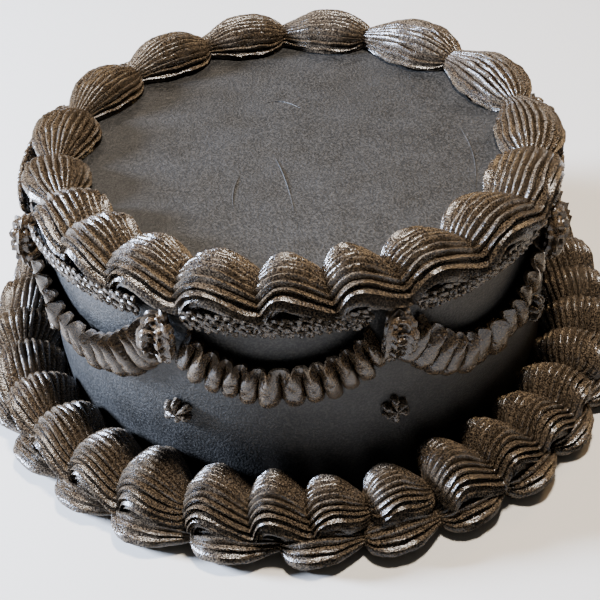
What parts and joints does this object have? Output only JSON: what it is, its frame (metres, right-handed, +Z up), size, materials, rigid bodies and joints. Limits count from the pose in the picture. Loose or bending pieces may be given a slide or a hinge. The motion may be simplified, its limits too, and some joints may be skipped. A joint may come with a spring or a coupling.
{
  "type": "piped celebration cake",
  "caption": "Round uncut cake in black buttercream with a shell border on top, ruffled swags, lace trim, rosettes, drop stars and a double shell border at the base.",
  "frame": {"origin": "middle of the cake's flat underside", "axes": "+Z up, -Y towards the side seen in front, +X to the right of that side"},
  "size_m": [0.2722, 0.2718, 0.1107],
  "materials": {
    "smooth_buttercream": "black buttercream scraped smooth, matte with a fine grain",
    "piped_buttercream": "black buttercream piped through star and petal tips, satin ridges with small air bubbles"
  },
  "bodies": {
    "root": {"cake_body": "smooth_buttercream", "top_shell_border": "piped_buttercream", "base_border_upper": "piped_buttercream", "base_border_lower": "piped_buttercream", "ruffle_swag_1": "piped_buttercream", "lace_trim_1": "piped_buttercream", "swag_rosette_1": "piped_buttercream", "drop_star_1": "piped_buttercream", "ruffle_swag_2": "piped_buttercream", "lace_trim_2": "piped_buttercream", "swag_rosette_2": "piped_buttercream", "drop_star_2": "piped_buttercream", "ruffle_swag_3": "piped_buttercream", "lace_trim_3": "piped_buttercream", "swag_rosette_3": "piped_buttercream", "drop_star_3": "piped_buttercream", "ruffle_swag_4": "piped_buttercream", "lace_trim_4": "piped_buttercream", "swag_rosette_4": "piped_buttercream", "drop_star_4": "piped_buttercream", "ruffle_swag_5": "piped_buttercream", "lace_trim_5": "piped_buttercream", "swag_rosette_5": "piped_buttercream", "drop_star_5": "piped_buttercream", "ruffle_swag_6": "piped_buttercream", "lace_trim_6": "piped_buttercream", "swag_rosette_6": "piped_buttercream", "drop_star_6": "piped_buttercream", "ruffle_swag_7": "piped_buttercream", "lace_trim_7": "piped_buttercream", "swag_rosette_7": "piped_buttercream", "drop_star_7": "piped_buttercream", "ruffle_swag_8": "piped_buttercream", "lace_trim_8": "piped_buttercream", "swag_rosette_8": "piped_buttercream", "drop_star_8": "piped_buttercream"}
  },
  "joints": []
}
